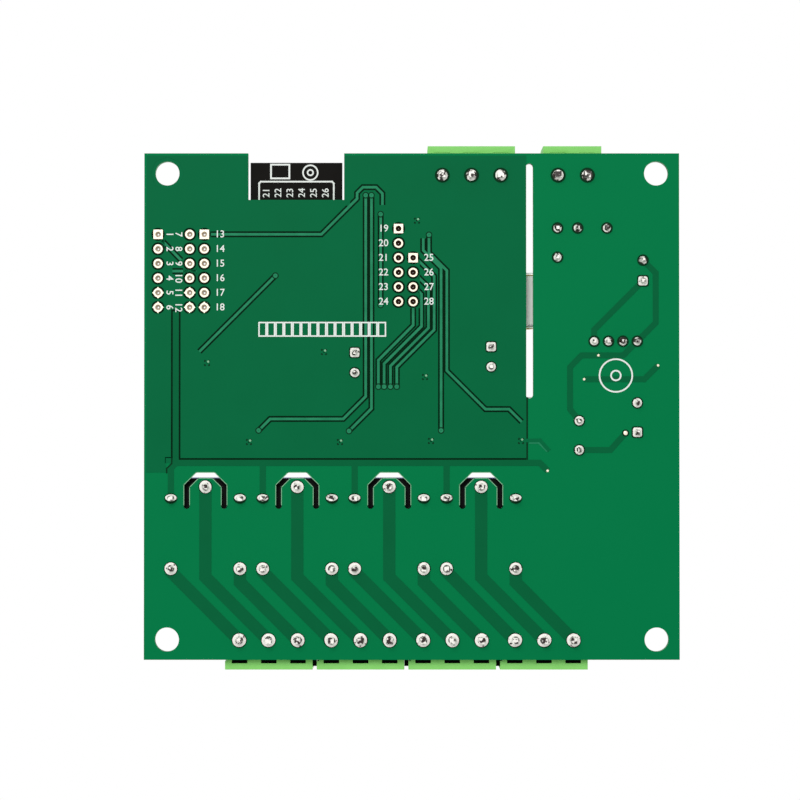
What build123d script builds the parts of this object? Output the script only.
from build123d import *
from math import atan2, cos, degrees, pi
import os

os.makedirs("parts", exist_ok=True)

# All sizes are in millimetres. The origin is the board's centre on its solder side, which is also the
# centre of the four mounting holes. +Z points to the component side, +Y to the edge with the supply
# terminals and +X to the edge beside the serial header.

# Relays and output terminal blocks: one of each per channel, in a row along X
channels = 4
relay_width = 15.5
relay_length = 19.2
relay_height = 15.3
relay_gap = 0.46
relay_edge = 0.4
pole_pitch = 5.08
terminal_gap = 0.72
output_poles = 3
channel_pitch = max(relay_width + relay_gap, output_poles * pole_pitch + terminal_gap)

# Circuit board, built up from the zones that its parts need
board_thickness = 1.6
first_channel_inset = 10.67
mains_zone_length = 34.45
logic_zone_width = 56.5
output_zone_width = 12.3
board_length = first_channel_inset + (channels - 1) * channel_pitch + mains_zone_length
board_width = logic_zone_width + relay_length + output_zone_width
logic_edge = board_length / 2
mains_edge = -board_length / 2
supply_edge = board_width / 2
output_edge = -board_width / 2

mounting_hole_diameter = 4.2
mounting_inset_x = 4.0
mounting_inset_y = 3.5

# Notch under the wireless module's antenna, measured from the +X and +Y edges
notch_width = 16.7
notch_depth = 8.1
notch_centre_inset = 26.4

# Isolation slot between the low-voltage side and the mains side
isolation_slot_width = 1.3
isolation_slot_length = 40.85
isolation_slot_inset_x = 26.04
isolation_slot_inset_y = 1.75

# Arch-shaped slot round each relay's common pin
arch_slot_width = 1.0
arch_half_span = 3.25
arch_top_half = 1.4
arch_rise = 2.0
arch_leg = 3.4

# Unpopulated headers: inset of each column from the +X edge, inset of its first hole from the +Y edge,
# number of holes, and whether the first pad is square
header_pitch = 2.54
header_hole_diameter = 1.0
header_pad_diameter = 1.7
test_pad_size = 1.0
via_diameter = 0.5
serial_column_inset = 2.4
gpio_column_inset = 7.9
left_headers_inset = 14.1
driver_column_inset = 44.2
driver_headers_inset = 13.1
header_columns = [
    (serial_column_inset, left_headers_inset, 6, True),
    (gpio_column_inset, left_headers_inset, 6, False),
    (gpio_column_inset + header_pitch, left_headers_inset, 6, True),
    (driver_column_inset, driver_headers_inset, 6, True),
    (driver_column_inset + header_pitch, driver_headers_inset + 2 * header_pitch, 4, True),
]

# Copper under the solder mask stands a little proud of the bare board. The ground pour covers the logic
# side down to pour_depth, and a narrow tail of it runs on down the +X edge.
copper_height = 0.05
contact_trace_width = 2.1
supply_trace_width = 1.05
mains_trace_width = 1.0
signal_trace_width = 0.45
copper_gap = 0.3
pour_edge_gap = 0.4
pour_inset_x = 66.4
pour_depth = 53.0
pour_tail_width = 3.4
pour_tail_depth = 55.5
coil_feed_inset = 5.5
coil_feed_start = 27.5
trace_start_run = 0.1

# Solder joints and the lead tips that stand out of them. Small round features that repeat many times
# are regular polygons with this many sides.
small_round_sides = 8
joint_height = 1.1
joint_clearance = 0.05
terminal_joint_diameter = 2.3
relay_joint_diameter = 2.1
small_joint_diameter = 1.7
joint_tip_share = 0.5
terminal_pin_size = 1.0
relay_pin_size = 0.8
small_lead_size = 0.55
terminal_pin_reach = 2.0
lead_reach = 1.7

# Relay pins, measured from the relay's front face
common_pin_setback = 1.5
coil_pin_setback = common_pin_setback + 2.0
contact_pin_setback = common_pin_setback + 14.2
side_pin_offset = 6.0

# Terminal blocks with rising clamps
output_pin_inset = 3.4
output_block_shift = 10.96
supply_pin_inset = 3.8
dc_poles = 3
dc_block_inset = 56.9
mains_poles = 2
mains_block_inset = 18.5
terminal_front = 5.2
terminal_back = 4.8
terminal_height = 13.8
terminal_shoulder = 9.6
terminal_top_setback = 2.2
terminal_rib_width = 1.8
terminal_rib_height = 0.4
terminal_rib_setback = 2.6
terminal_groove_clearance = 0.18
wire_entry_width = 3.7
wire_entry_height = 3.9
wire_entry_sill = 2.3
wire_entry_depth = 7.6
screw_well_diameter = 3.9
screw_sides = 8
pin_pocket_width = 2.7
pin_pocket_depth = 1.0
pin_pocket_reach = 4.1
clamp_clearance = 0.1
clamp_wall = 0.6
clamp_length = 4.4
screw_head_diameter = 3.4
screw_head_height = 1.9
screw_slot_width = 0.6
screw_slot_depth = 0.8

# Wireless module
module_width = 16.0
module_length = 24.0
module_thickness = 0.8
module_overhang_inset = 1.5
shield_width = 12.2
shield_length = 15.0
shield_height = 2.4
shield_edge_gap = 1.2
shield_edge = 0.5

# Electrolytic capacitors: diameter, height and lead spacing
low_cap_diameter = 8.0
low_cap_height = 11.5
low_cap_lead_spacing = 3.5
input_cap_diameter = 8.0
input_cap_height = 12.0
input_cap_lead_spacing = 3.6
bulk_cap_diameter = 10.0
bulk_cap_height = 16.0
bulk_cap_lead_spacing = 5.1
can_edge = 0.5

# Mains side parts
radial_lead_spacing = 5.08
fuse_size = (4.3, 8.4, 7.7)
varistor_diameter = 7.0
varistor_thickness = 3.6
varistor_seat = 1.0
bridge_size = (10.2, 3.2, 9.2)
bridge_seat = 1.5
bridge_corner = 2.0
bridge_lead_spacing = 2.5
bridge_lead_count = 4
bridge_lead_width = 0.9
bridge_lead_thickness = 0.5
choke_diameter = 8.0
choke_height = 9.5

# Flyback transformer across the isolation slot
transformer_length = 13.6
transformer_standoff = 0.4
transformer_base = 2.2
transformer_height = 10.6
core_leg_width = 2.4
core_width = 8.6
winding_diameter = 9.6
winding_clearance = 0.1
transformer_pin_count = 4
transformer_pin_width = 0.7
transformer_pin_thickness = 0.6
transformer_pin_reach = 1.3

# Tactile switches
switch_width = 6.0
switch_depth = 3.6
switch_height = 2.0
switch_plunger_width = 3.0
switch_plunger_depth = 1.5
switch_plunger_proud = 0.6
switch_travel = 0.25
switch_plunger_hold = 0.6
switch_float = 0.05
switch_fit = 0.1
switch_lead_reach = 0.9
switch_lead_width = 1.4
switch_lead_thickness = 0.3

# Chips and small surface-mounted parts: length along X, width along Y and height
buck_chip_size = (4.9, 3.9, 1.5)
converter_chip_size = (4.9, 6.3, 3.2)
optocoupler_size = (6.4, 4.6, 3.4)
regulator_size = (6.5, 3.5, 1.6)
transistor_size = (2.9, 1.3, 1.0)
diode_size = (4.3, 2.6, 2.2)
resistor_size = (2.0, 1.25, 0.55)
chip_capacitor_size = (2.0, 1.25, 0.9)
led_size = (2.0, 1.25, 0.8)
inductor_size = (7.0, 7.0, 3.8)

# Flat leads of the chips: how many on a side, their spacing, reach and width
optocoupler_leads = (2, 2.54, 1.6, 0.8)
converter_chip_leads = (3, 1.6, 1.2, 0.6)
buck_chip_leads = (4, 1.27, 0.6, 0.42)
transistor_lead_offset = 0.95
transistor_lead_width = 0.4
transistor_lead_reach = 0.5
lead_thickness = 0.25

# Layout of the logic side: insets from the +X edge and the +Y edge
low_cap_insets = [(36.6, 36.4), (60.3, 35.4)]
reset_switch_inset = (8.5, 39.0)
user_switch_inset = (18.5, 39.0)
inductor_inset = (54.5, 26.0)
buck_chip_inset = (55.5, 17.5)
regulator_inset = (44.5, 44.5)

# Layout of the mains side: insets from the -X edge and the +Y edge
input_cap_inset = (6.3, 20.4)
bulk_cap_inset = (7.3, 45.95)
fuse_inset = (21.15, 15.55)
varistor_inset = (15.1, 13.0)
bridge_inset = (11.05, 32.7)
choke_inset = (17.4, 49.05)
converter_chip_inset = (19.5, 38.0)
test_pad_inset = (9.36, 48.65)
via_insets = [(14.06, 35.15), (16.54, 39.3), (3.7, 36.9), (22.9, 55.2)]

# Parts that straddle the isolation slot's line, from the +Y edge
transformer_inset = 25.5
optocoupler_inset = 45.2


def logic_point(across, down):
    """A place measured from the +X edge and the +Y edge."""
    return (logic_edge - across, supply_edge - down)


def mains_point(across, down):
    """A place measured from the -X edge and the +Y edge."""
    return (mains_edge + across, supply_edge - down)


# Places that several pieces share
relay_front = supply_edge - logic_zone_width
relay_x = [logic_edge - first_channel_inset - i * channel_pitch for i in range(channels)]
output_x = [x - output_block_shift for x in relay_x]
output_pin_y = output_edge + output_pin_inset
supply_pin_y = supply_edge - supply_pin_inset
dc_x = logic_edge - dc_block_inset
mains_x = mains_edge + mains_block_inset
isolation_x = mains_edge + isolation_slot_inset_x
low_cap_places = [logic_point(*inset) for inset in low_cap_insets]
input_cap_place = mains_point(*input_cap_inset)
bulk_cap_place = mains_point(*bulk_cap_inset)
fuse_place = mains_point(*fuse_inset)
varistor_place = mains_point(*varistor_inset)
bridge_place = mains_point(*bridge_inset)
choke_place = mains_point(*choke_inset)
transformer_place = (isolation_x, supply_edge - transformer_inset)
module_place = logic_point(notch_centre_inset, module_overhang_inset + module_length / 2)
reset_switch_place = logic_point(*reset_switch_inset)
user_switch_place = logic_point(*user_switch_inset)
inductor_place = logic_point(*inductor_inset)
buck_chip_place = logic_point(*buck_chip_inset)
regulator_place = logic_point(*regulator_inset)
optocoupler_place = (isolation_x, supply_edge - optocoupler_inset)
converter_chip_place = mains_point(*converter_chip_inset)
test_pad_place = mains_point(*test_pad_inset)
via_places = [mains_point(*inset) for inset in via_insets]


def in_line(place, count, spacing, along_x):
    """Evenly spaced points centred on a place."""
    steps = [(i - (count - 1) / 2) * spacing for i in range(count)]
    return [(place[0] + s * along_x, place[1] + s * (not along_x)) for s in steps]


# Pin places, by the size of their solder joints
terminal_pins = [p for x in output_x for p in in_line((x, output_pin_y), output_poles, pole_pitch, True)]
terminal_pins += in_line((dc_x, supply_pin_y), dc_poles, pole_pitch, True)
terminal_pins += in_line((mains_x, supply_pin_y), mains_poles, pole_pitch, True)
relay_pins = []
for x in relay_x:
    relay_pins.append((x, relay_front - common_pin_setback))
    for side in (side_pin_offset, -side_pin_offset):
        relay_pins.append((x + side, relay_front - coil_pin_setback))
        relay_pins.append((x + side, relay_front - contact_pin_setback))
low_cap_pins = [p for place in low_cap_places for p in in_line(place, 2, low_cap_lead_spacing, False)]
input_cap_pins = in_line(input_cap_place, 2, input_cap_lead_spacing, False)
bulk_cap_pins = in_line(bulk_cap_place, 2, bulk_cap_lead_spacing, False)
small_pins = low_cap_pins + input_cap_pins + bulk_cap_pins
small_pins += in_line(fuse_place, 2, radial_lead_spacing, False)
small_pins += in_line(varistor_place, 2, radial_lead_spacing, True)
bridge_pins = in_line(bridge_place, bridge_lead_count, bridge_lead_spacing, True)
choke_pins = in_line(choke_place, 2, radial_lead_spacing, False)
small_pins += bridge_pins + choke_pins
all_pins = terminal_pins + relay_pins + small_pins
square_pins = low_cap_pins[1::2] + input_cap_pins[:1] + bulk_cap_pins[:1]

header_holes = []
for inset, first_inset, count, square_first in header_columns:
    for row in range(count):
        place = logic_point(inset, first_inset + row * header_pitch)
        header_holes.append((place, square_first and row == 0))


def block(place, size, bottom=board_thickness):
    """A box that stands with its middle over a place."""
    low = (Align.CENTER, Align.CENTER, Align.MIN)
    return Pos(place[0], place[1], bottom) * Box(*size, align=low)


def post(place, radius, height, bottom):
    """An upright cylinder over a place."""
    low = (Align.CENTER, Align.CENTER, Align.MIN)
    return Pos(place[0], place[1], bottom) * Cylinder(radius, height, align=low)


def prism(place, diameter, height, bottom):
    """An upright post with a few flat sides over a place."""
    return Pos(place[0], place[1], bottom) * extrude(RegularPolygon(diameter / 2, screw_sides), height)


def small_round(place, diameter):
    """The face of a small round feature over a place."""
    return Pos(*place) * RegularPolygon(diameter / 2, small_round_sides)


def ribbon(points, width):
    """A flat strip of even width along a line of points, with mitred corners."""
    path = [Vector(*p) for p in points]
    runs = [(b - a).normalized() for a, b in zip(path, path[1:])]
    sides = [Vector(-r.Y, r.X) for r in runs]
    offsets = [sides[0]]
    for before, after in zip(sides, sides[1:]):
        offsets.append((before + after) / (1 + before.dot(after)))
    offsets.append(sides[-1])
    left = [p + o * (width / 2) for p, o in zip(path, offsets)]
    right = [p - o * (width / 2) for p, o in zip(path, offsets)]
    return make_face(Polyline(*left, *reversed(right), close=True))


def write(name, *solids):
    """Writes the solids of one node."""
    export_step(Compound(list(solids)) if len(solids) > 1 else solids[0], f"parts/{name}.step")


def arch_slot(x):
    """The face of the slot round one relay's common pin, with round leg ends."""
    top = relay_front - common_pin_setback + arch_rise
    knee = top - (arch_half_span - arch_top_half)
    foot = knee - arch_leg
    half = [(arch_top_half, top), (arch_half_span, knee), (arch_half_span, foot)]
    points = [(x - dx, y) for dx, y in reversed(half)] + [(x + dx, y) for dx, y in half]
    ends = [Pos(x + side, foot) * Circle(arch_slot_width / 2) for side in (-arch_half_span, arch_half_span)]
    return ribbon(points, arch_slot_width) + ends


def circuit_board():
    outline = Rectangle(board_length, board_width)
    notch_x = logic_edge - notch_centre_inset
    outline -= Pos(notch_x, supply_edge - notch_depth / 2) * Rectangle(notch_width, notch_depth)
    slot_y = supply_edge - isolation_slot_inset_y - isolation_slot_length / 2
    slot = SlotOverall(isolation_slot_length, isolation_slot_width, rotation=90)
    outline -= Pos(isolation_x, slot_y) * slot
    spans = (board_length - 2 * mounting_inset_x, board_width - 2 * mounting_inset_y)
    outline -= GridLocations(*spans, 2, 2) * Circle(mounting_hole_diameter / 2)
    outline -= [small_round(place, header_hole_diameter) for place, square in header_holes]
    for x in relay_x:
        outline -= arch_slot(x)
    return extrude(outline, board_thickness)


def header_pads():
    """Bare tinned pads: a ring round each open header hole, a test pad and the tinned vias."""
    pads = []
    for place, square in header_holes:
        pad = small_round(place, header_pad_diameter)
        if square:
            pad = Pos(*place) * Rectangle(header_pad_diameter, header_pad_diameter)
        pads.append(pad - small_round(place, header_hole_diameter))
    pads.append(Pos(*test_pad_place) * Rectangle(test_pad_size, test_pad_size))
    pads += [small_round(place, via_diameter) for place in via_places]
    return [extrude(pad, -copper_height) for pad in pads]


def joint_diameter(place):
    """The width of the solder joint at a pin."""
    if place in terminal_pins:
        return terminal_joint_diameter
    return relay_joint_diameter if place in relay_pins else small_joint_diameter


def joint_face(place, diameter, square):
    """The outline of a solder joint, which is square at the first pin of a capacitor."""
    return Pos(*place) * Rectangle(diameter, diameter) if square else small_round(place, diameter)


def solder_joint(diameter, square):
    """A faceted cone of solder below the board, round a lead at the origin."""
    flat = diameter / 2 * (1 if square else cos(pi / small_round_sides))
    slope = atan2(flat * (1 - joint_tip_share), joint_height)
    return Rot(180, 0, 0) * extrude(joint_face((0, 0), diameter, square), joint_height, taper=degrees(slope))


def solder_joints():
    kinds = {p: (joint_diameter(p), p in square_pins) for p in all_pins}
    shapes = {kind: solder_joint(*kind) for kind in set(kinds.values())}
    return [Pos(*p) * shapes[kinds[p]] for p in all_pins]


def lead_tip(place, size, reach):
    """The end of a lead that stands out of its joint."""
    return block(place, (size, size, reach - joint_height), -reach)


def copper(faces):
    """Copper strips, kept clear of the solder joints and the bare pads."""
    layer = Sketch() + faces
    layer -= [joint_face(p, joint_diameter(p) + 2 * joint_clearance, p in square_pins) for p in all_pins]
    layer -= [small_round(p, via_diameter + 2 * joint_clearance) for p in via_places]
    layer -= [small_round(p, header_pad_diameter + 2 * copper_gap) for p, square in header_holes]
    layer -= Pos(*test_pad_place) * Rectangle(test_pad_size + 2 * joint_clearance, test_pad_size)
    return [extrude(face, -copper_height) for face in layer.faces()]


def contact_traces():
    """Three wide traces per channel, from the relay's contact pins to the terminal block."""
    faces = []
    for relay, block_x in zip(relay_x, output_x):
        starts = [
            (relay + side_pin_offset, relay_front - contact_pin_setback),
            (relay, relay_front - common_pin_setback),
            (relay - side_pin_offset, relay_front - contact_pin_setback),
        ]
        ends = reversed(in_line((block_x, output_pin_y), output_poles, pole_pitch, True))
        for start, end in zip(starts, ends):
            bend = (start[0], min(end[1] + abs(start[0] - end[0]), start[1] - trace_start_run))
            faces.append(ribbon([start, bend, end], contact_trace_width))
    return faces


coil_bus_y = supply_edge - pour_depth - copper_gap - supply_trace_width / 2
coil_feed_x = logic_edge - coil_feed_inset


def supply_traces():
    """The relay coils' supply: a feed down the side, a bus over the relays and a branch to each coil.
    The first coil's branch slants off the corner where the feed turns into the bus."""
    bus_end = via_places[-1]
    bend = (bus_end[0] + (coil_bus_y - bus_end[1]), coil_bus_y)
    feed = [(coil_feed_x, supply_edge - coil_feed_start), (coil_feed_x, coil_bus_y), bend, bus_end]
    faces = [ribbon(feed, supply_trace_width)]
    for x in relay_x:
        coil = (x + side_pin_offset, relay_front - coil_pin_setback)
        branch = [(coil[0], coil_bus_y), coil]
        if x == relay_x[0]:
            slant = abs(coil[0] - coil_feed_x) + trace_start_run
            branch = [(coil_feed_x, coil_bus_y), (coil[0], coil_bus_y - slant), coil]
        faces.append(ribbon(branch, supply_trace_width))
    return faces


def mains_traces():
    """Traces between the mains side's pins and vias, which run straight or at 45 degrees."""
    cap_low, cap_high = input_cap_pins
    choke_low, choke_high = choke_pins
    bridge_minus, bridge_plus = bridge_pins[0], bridge_pins[-1]
    edge_run, level_run = mains_point(4.1, 35.15)
    side_step = bridge_minus[0] - edge_run
    level_step = bridge_minus[1] - level_run
    lines = [
        [cap_high, (edge_run, cap_high[1] - cap_high[0] + edge_run), (edge_run, bridge_minus[1] + side_step),
         (bridge_minus[0] + level_step, level_run), mains_point(17.0, 35.15), mains_point(19.0, 37.2),
         mains_point(19.0, 44.5), choke_high],
        [cap_low, (bridge_plus[0], cap_low[1] - bridge_plus[0] + cap_low[0]), bridge_plus],
        [via_places[1], mains_point(6.1, 39.3), via_places[2]],
        [choke_low, mains_point(12.0, 51.6), test_pad_place],
    ]
    return [ribbon(line, mains_trace_width) for line in lines]


def signal_lines():
    """The thin traces on the solder side, as points from the +X and +Y edges."""
    driver_lines = [
        [(46.75, 26.0), (46.75, 29.9), (40.7, 36.0), (40.7, 40.6)],
        [(47.4, 23.7), (48.2, 24.5), (48.2, 30.1), (41.7, 36.6), (41.7, 40.6)],
        [(47.4, 21.3), (49.4, 23.3), (49.4, 30.4), (42.8, 37.0), (42.8, 40.6)],
        [(47.4, 18.4), (50.4, 21.4), (50.4, 30.7), (43.9, 37.2), (43.9, 40.6)],
    ]
    return driver_lines + [
        [(11.6, 14.1), (30.8, 14.1), (37.0, 7.9), (37.0, 6.9), (38.0, 5.9), (40.3, 5.9), (41.4, 7.0),
         (41.4, 9.0)],
        [(38.5, 7.3), (38.5, 42.3), (34.6, 46.2), (21.9, 46.2), (19.9, 48.2)],
        [(39.5, 7.3), (39.5, 44.4), (35.6, 48.3)],
        [(41.1, 10.6), (41.1, 26.4)],
        [(22.8, 21.3), (9.6, 34.5)],
        [(3.1, 15.2), (6.4, 18.6)],
        [(4.9, 20.5), (9.1, 20.5)],
        [(66.9, 50.3), (68.6, 50.3), (70.1, 51.8)],
        [(48.5, 14.8), (48.5, 16.9), (51.6, 20.0), (51.6, 48.2)],
        [(49.5, 14.2), (49.5, 17.3), (52.6, 20.4), (52.6, 37.8), (59.3, 44.5), (63.4, 44.5), (65.6, 46.7)],
    ]


def signal_traces():
    return [ribbon([logic_point(*p) for p in line], signal_trace_width) for line in signal_lines()]


def ground_pour():
    """The low-voltage side's ground copper, with gaps round everything else."""
    right = logic_edge - pour_edge_gap
    left = logic_edge - pour_inset_x
    top = supply_edge - pour_edge_gap
    bottom = supply_edge - pour_depth
    pour = Pos((left + right) / 2, (top + bottom) / 2) * Rectangle(right - left, top - bottom)
    tail = Rectangle(pour_tail_width, pour_tail_depth - pour_depth)
    pour += Pos(right - pour_tail_width / 2, supply_edge - (pour_depth + pour_tail_depth) / 2) * tail
    notch_x = logic_edge - notch_centre_inset
    margin = 2 * pour_edge_gap
    pour -= Pos(notch_x, supply_edge - (notch_depth + margin / 2) / 2) * Rectangle(
        notch_width + margin, notch_depth + margin / 2
    )
    hole_place = (logic_edge - mounting_inset_x, supply_edge - mounting_inset_y)
    pour -= small_round(hole_place, mounting_hole_diameter + 4 * pour_edge_gap)
    for inset, first_inset, count, square_first in header_columns:
        length = (count - 1) * header_pitch + header_pad_diameter + 2 * copper_gap
        x, y = logic_point(inset, first_inset + (count - 1) * header_pitch / 2)
        pour -= Pos(x, y) * Rectangle(header_pad_diameter + 2 * copper_gap, length)
    for line in signal_lines():
        pour -= ribbon([logic_point(*p) for p in line], signal_trace_width + 2 * copper_gap)
    feed_top = supply_edge - coil_feed_start + copper_gap
    feed_cut = Rectangle(supply_trace_width + 2 * copper_gap, feed_top - bottom)
    pour -= Pos(coil_feed_x, (feed_top + bottom) / 2) * feed_cut
    return [pour]


def relay(x):
    """A sealed relay: one moulded case with bevelled edges."""
    middle = (x, relay_front - relay_length / 2)
    case = block(middle, (relay_width, relay_length, relay_height))
    case = chamfer(case.edges().filter_by(Axis.Z), relay_edge)
    return chamfer(case.faces().sort_by(Axis.Z)[-1].edges(), relay_edge)


def terminal_housing(x, pin_y, poles, outward):
    """A screw terminal block's housing. outward is the side that the wires enter from, +1 or -1 in Y."""
    base = board_thickness
    width = poles * pole_pitch
    front, back = terminal_front, -terminal_back
    profile = [
        (back, 0),
        (front, 0),
        (front, terminal_shoulder),
        (front - terminal_top_setback, terminal_height),
        (back + terminal_top_setback, terminal_height),
        (back, terminal_shoulder),
    ]
    side = make_face(Polyline(*[(pin_y + outward * y, base + z) for y, z in profile], close=True))
    housing = extrude(Plane.YZ * side, width / 2, both=True)
    rib_y = pin_y + outward * (front - terminal_rib_setback)
    rib = block((-width / 2, rib_y), (2 * terminal_rib_height, terminal_rib_width, terminal_shoulder))
    groove_width = terminal_rib_width + 2 * terminal_groove_clearance
    groove = block((width / 2, rib_y), (2 * terminal_rib_height, groove_width, terminal_shoulder))
    housing = housing + rib - groove
    for px, py in in_line((0, pin_y), poles, pole_pitch, True):
        entry_y = py + outward * (front - wire_entry_depth / 2)
        housing -= block(
            (px, entry_y), (wire_entry_width, wire_entry_depth, wire_entry_height), base + wire_entry_sill
        )
        well_bottom = base + wire_entry_sill + wire_entry_height
        housing -= prism((px, py), screw_well_diameter, terminal_height, well_bottom)
        pocket_y = py + outward * (pin_pocket_reach - pin_pocket_width / 2) / 2
        length = pin_pocket_reach + pin_pocket_width / 2
        housing -= block((px, pocket_y), (pin_pocket_width, length, pin_pocket_depth))
    return Pos(x, 0, 0) * housing


blocks = [(x, output_pin_y, output_poles, -1) for x in output_x]
blocks += [(dc_x, supply_pin_y, dc_poles, 1), (mains_x, supply_pin_y, mains_poles, 1)]
poles = [p for x, y, count, outward in blocks for p in in_line((x, y), count, pole_pitch, True)]


def clamp(place):
    """A clamp cage: a square tube that the wire goes into, resting on the entry's sill."""
    width = wire_entry_width - 2 * clamp_clearance
    height = wire_entry_height
    cage = block(place, (width, clamp_length, height), board_thickness + wire_entry_sill)
    window = (width - 2 * clamp_wall, clamp_length, height - 2 * clamp_wall)
    return cage - block(place, window, board_thickness + wire_entry_sill + clamp_wall)


def clamp_screw(place):
    """A slotted screw that stands on its clamp cage, in the housing's well."""
    bottom = board_thickness + wire_entry_sill + wire_entry_height
    screw = prism(place, screw_head_diameter, screw_head_height, bottom)
    slot = (screw_head_diameter, screw_slot_width, screw_slot_depth)
    return screw - block(place, slot, bottom + screw_head_height - screw_slot_depth)


def wireless_module():
    """The daughter board and its shield can, which stop short of the antenna end."""
    x, y = module_place
    board = block(module_place, (module_width, module_length, module_thickness))
    can_y = y - module_length / 2 + shield_edge_gap + shield_length / 2
    can = block((x, can_y), (shield_width, shield_length, shield_height), board_thickness + module_thickness)
    can = chamfer(can.edges().filter_by(Axis.Z), shield_edge)
    return board, chamfer(can.faces().sort_by(Axis.Z)[-1].edges(), shield_edge / 2)


def sleeved_can(place, diameter, height):
    """A can in a shrunk sleeve, with a bevelled top edge."""
    can = post(place, diameter / 2, height, board_thickness)
    return chamfer(can.faces().sort_by(Axis.Z)[-1].edges(), can_edge)


def varistor():
    """A coated disc that stands on edge over its two leads."""
    x, y = varistor_place
    disc = Cylinder(varistor_diameter / 2, varistor_thickness, rotation=(90, 0, 0))
    return Pos(x, y, board_thickness + varistor_seat + varistor_diameter / 2) * disc


def varistor_leads():
    """The two leads, up to where the coating covers them."""
    radius = varistor_diameter / 2
    inner = (radial_lead_spacing - small_lead_size) / 2
    length = varistor_seat + radius - max(radius**2 - inner**2, 0) ** 0.5
    return [block(p, (small_lead_size, small_lead_size, length)) for p in
            in_line(varistor_place, 2, radial_lead_spacing, True)]


def bridge_rectifier():
    """A flat single-in-line bridge with one bevelled upper corner, on its leads."""
    body = block(bridge_place, bridge_size, board_thickness + bridge_seat)
    corner = body.edges().filter_by(Axis.Y).sort_by(Axis.Z)[-2:].sort_by(Axis.X)[-1]
    leads = [block(p, (bridge_lead_width, bridge_lead_thickness, bridge_seat)) for p in bridge_pins]
    return chamfer(corner, bridge_corner), leads


def transformer():
    """Bobbin base with its gull pins, a wound coil and a core that wraps round the coil."""
    base = board_thickness + transformer_standoff
    bobbin = block(transformer_place, (transformer_length, core_width, transformer_base), base)
    top = base + transformer_height - core_leg_width
    coil_bottom = base + transformer_base + core_leg_width
    coil_height = top - coil_bottom
    coil = post(transformer_place, winding_diameter / 2, coil_height, coil_bottom)
    outer = (transformer_length, core_width, coil_height + 2 * core_leg_width)
    core = block(transformer_place, outer, base + transformer_base)
    window = (winding_diameter + 2 * winding_clearance, core_width, coil_height)
    core -= block(transformer_place, window, coil_bottom)
    pins = []
    for end in (-1, 1):
        x = transformer_place[0] + end * (transformer_length / 2 + transformer_pin_reach / 2)
        row = (x, transformer_place[1])
        for place in in_line(row, transformer_pin_count, core_width / transformer_pin_count, False):
            size = (transformer_pin_reach, transformer_pin_width, transformer_pin_thickness)
            pins.append(block(place, size))
    return bobbin, coil, core, pins


def plunger_outline(margin):
    """The plunger's outline with cut corners, or its well's with a margin all round."""
    outline = Rectangle(switch_plunger_width + 2 * margin, switch_plunger_depth + 2 * margin)
    return chamfer(outline.vertices(), switch_plunger_depth / 4)


def switch(place):
    """A tactile switch: housing with a plunger well, two leads, and the plunger in the well."""
    housing = block(place, (switch_width, switch_depth, switch_height))
    well_bottom = board_thickness + switch_height - switch_travel - switch_plunger_hold
    well = plunger_outline(switch_fit)
    housing -= Pos(place[0], place[1], well_bottom) * extrude(well, switch_height)
    lead_size = (switch_lead_reach, switch_lead_width, switch_lead_thickness)
    lead_out = (switch_width + switch_lead_reach) / 2
    leads = [block((place[0] + side * lead_out, place[1]), lead_size) for side in (-1, 1)]
    plunger_bottom = well_bottom + switch_travel + switch_float
    height = board_thickness + switch_height + switch_plunger_proud - plunger_bottom
    plunger = extrude(plunger_outline(0), height)
    return housing, leads, Pos(place[0], place[1], plunger_bottom) * plunger


def leads_along(place, size, spec):
    """Flat leads out of both X sides of a chip."""
    count, spacing, reach, width = spec
    leads = []
    for end in (-1, 1):
        row = (place[0] + end * (size[0] + reach) / 2, place[1])
        leads += [block(p, (reach, width, lead_thickness)) for p in in_line(row, count, spacing, False)]
    return leads


# Small parts of each channel, measured from the relay's centre line and front face, and a column and a
# row of chip parts beside and below the wireless module
chip_column_inset = 39.5
chip_column_pitch = 3.0
chip_row_inset = 30.0
transistor_places = [(x - 5.2, relay_front + 5.6) for x in relay_x]
flyback_places = [(x + 4.0, relay_front + 2.4) for x in relay_x]
led_places = [(x + 0.2, relay_front + 6.0) for x in relay_x]
led_places += [logic_point(30.0, 43.5), logic_point(57.5, 47.6)]
channel_resistor_places = [(x - 5.2, relay_front + 2.4) for x in relay_x]
channel_resistor_places += [(x + 4.4, relay_front + 6.0) for x in relay_x]
resistor_places = channel_resistor_places + [
    logic_point(chip_column_inset, 8.0 + i * chip_column_pitch) for i in range(4)
] + [
    logic_point(14.0, chip_row_inset), logic_point(18.0, chip_row_inset), logic_point(51.0, 12.0),
    logic_point(60.8, 18.5), mains_point(10.0, 26.5), mains_point(15.6, 26.5),
]
chip_capacitor_places = [
    logic_point(chip_column_inset, 20.0), logic_point(chip_column_inset, 23.0),
    logic_point(22.5, chip_row_inset), logic_point(26.5, chip_row_inset), logic_point(51.0, 44.5),
    logic_point(38.2, 44.5), logic_point(51.0, 30.5), mains_point(13.6, 38.5),
]
diode_places = [logic_point(62.5, 12.5), logic_point(53.0, 32.8), mains_point(15.8, 42.6)]


def small_parts(places, size):
    return [block(place, size) for place in places]


def transistor_leads():
    leads = []
    out = (transistor_size[1] + transistor_lead_reach) / 2
    size = (transistor_lead_width, transistor_lead_reach, lead_thickness)
    for x, y in transistor_places:
        for dx, dy in ((-transistor_lead_offset, -out), (transistor_lead_offset, -out), (0, out)):
            leads.append(block((x + dx, y + dy), size))
    return leads


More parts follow.
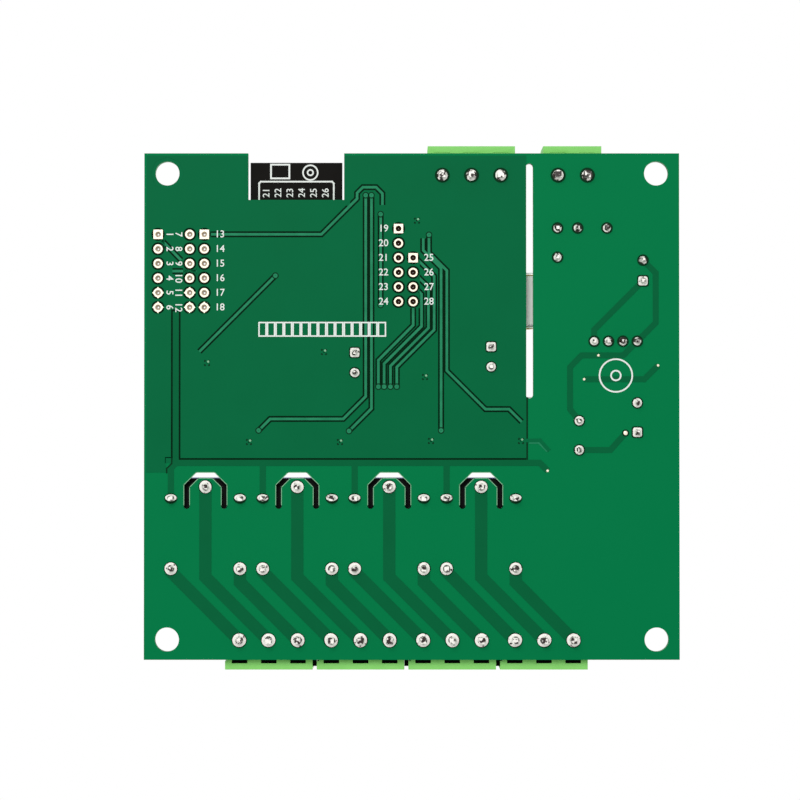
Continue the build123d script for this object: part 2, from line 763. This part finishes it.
write("circuit_board", circuit_board())
write("bare_pads", *header_pads())
write("contact_traces", *copper(contact_traces() + mains_traces()))
write("supply_traces", *copper(supply_traces()))
write("signal_traces", *copper(signal_traces()))
write("ground_pour", *copper(ground_pour()))
write("solder_joints", *solder_joints())
write("terminal_pins", *[lead_tip(p, terminal_pin_size, terminal_pin_reach) for p in terminal_pins])
component_leads = [lead_tip(p, relay_pin_size, lead_reach) for p in relay_pins]
component_leads += [lead_tip(p, small_lead_size, lead_reach) for p in small_pins]
write("lead_tips", *component_leads)

for number, x in enumerate(relay_x, 1):
    write(f"relay_{number}", relay(x))
for number, spec in enumerate(blocks[:channels], 1):
    write(f"output_terminal_{number}", terminal_housing(*spec))
write("dc_terminal", terminal_housing(*blocks[channels]))
write("mains_terminal", terminal_housing(*blocks[channels + 1]))
write("terminal_clamps", *[clamp(p) for p in poles])
write("terminal_screws", *[clamp_screw(p) for p in poles])

module_board, shield_can = wireless_module()
write("module_board", module_board)
write("shield_can", shield_can)

for number, place in enumerate(low_cap_places, 1):
    write(f"low_voltage_capacitor_{number}", sleeved_can(place, low_cap_diameter, low_cap_height))
write("input_capacitor", sleeved_can(input_cap_place, input_cap_diameter, input_cap_height))
write("bulk_capacitor", sleeved_can(bulk_cap_place, bulk_cap_diameter, bulk_cap_height))
write("fuse", block(fuse_place, fuse_size))
write("varistor", varistor())
bridge, bridge_lead_pieces = bridge_rectifier()
write("bridge_rectifier", bridge)
write("standing_leads", *varistor_leads(), *bridge_lead_pieces)
write("filter_choke", post(choke_place, choke_diameter / 2, choke_height, board_thickness))

bobbin, coil, core, transformer_pins = transformer()
write("transformer_bobbin", bobbin)
write("transformer_winding", coil)
write("transformer_core", core)
write("transformer_pins", *transformer_pins)

switch_leads = []
for name, place in (("reset", reset_switch_place), ("user", user_switch_place)):
    housing, leads, plunger = switch(place)
    write(f"{name}_switch", housing)
    write(f"{name}_plunger", plunger)
    switch_leads += leads

write("optocoupler", block(optocoupler_place, optocoupler_size))
write("converter_chip", block(converter_chip_place, converter_chip_size))
write("buck_chip", block(buck_chip_place, buck_chip_size))
write("regulator", block(regulator_place, regulator_size))
write("power_inductor", block(inductor_place, inductor_size))
write("driver_transistors", *small_parts(transistor_places, transistor_size))
write("diodes", *small_parts(flyback_places + diode_places, diode_size))
write("leds", *small_parts(led_places, led_size))
write("chip_resistors", *small_parts(resistor_places, resistor_size))
write("chip_capacitors", *small_parts(chip_capacitor_places, chip_capacitor_size))
chip_leads = leads_along(optocoupler_place, optocoupler_size, optocoupler_leads)
chip_leads += leads_along(converter_chip_place, converter_chip_size, converter_chip_leads)
chip_leads += leads_along(buck_chip_place, buck_chip_size, buck_chip_leads)
write("chip_leads", *chip_leads, *switch_leads, *transistor_leads())
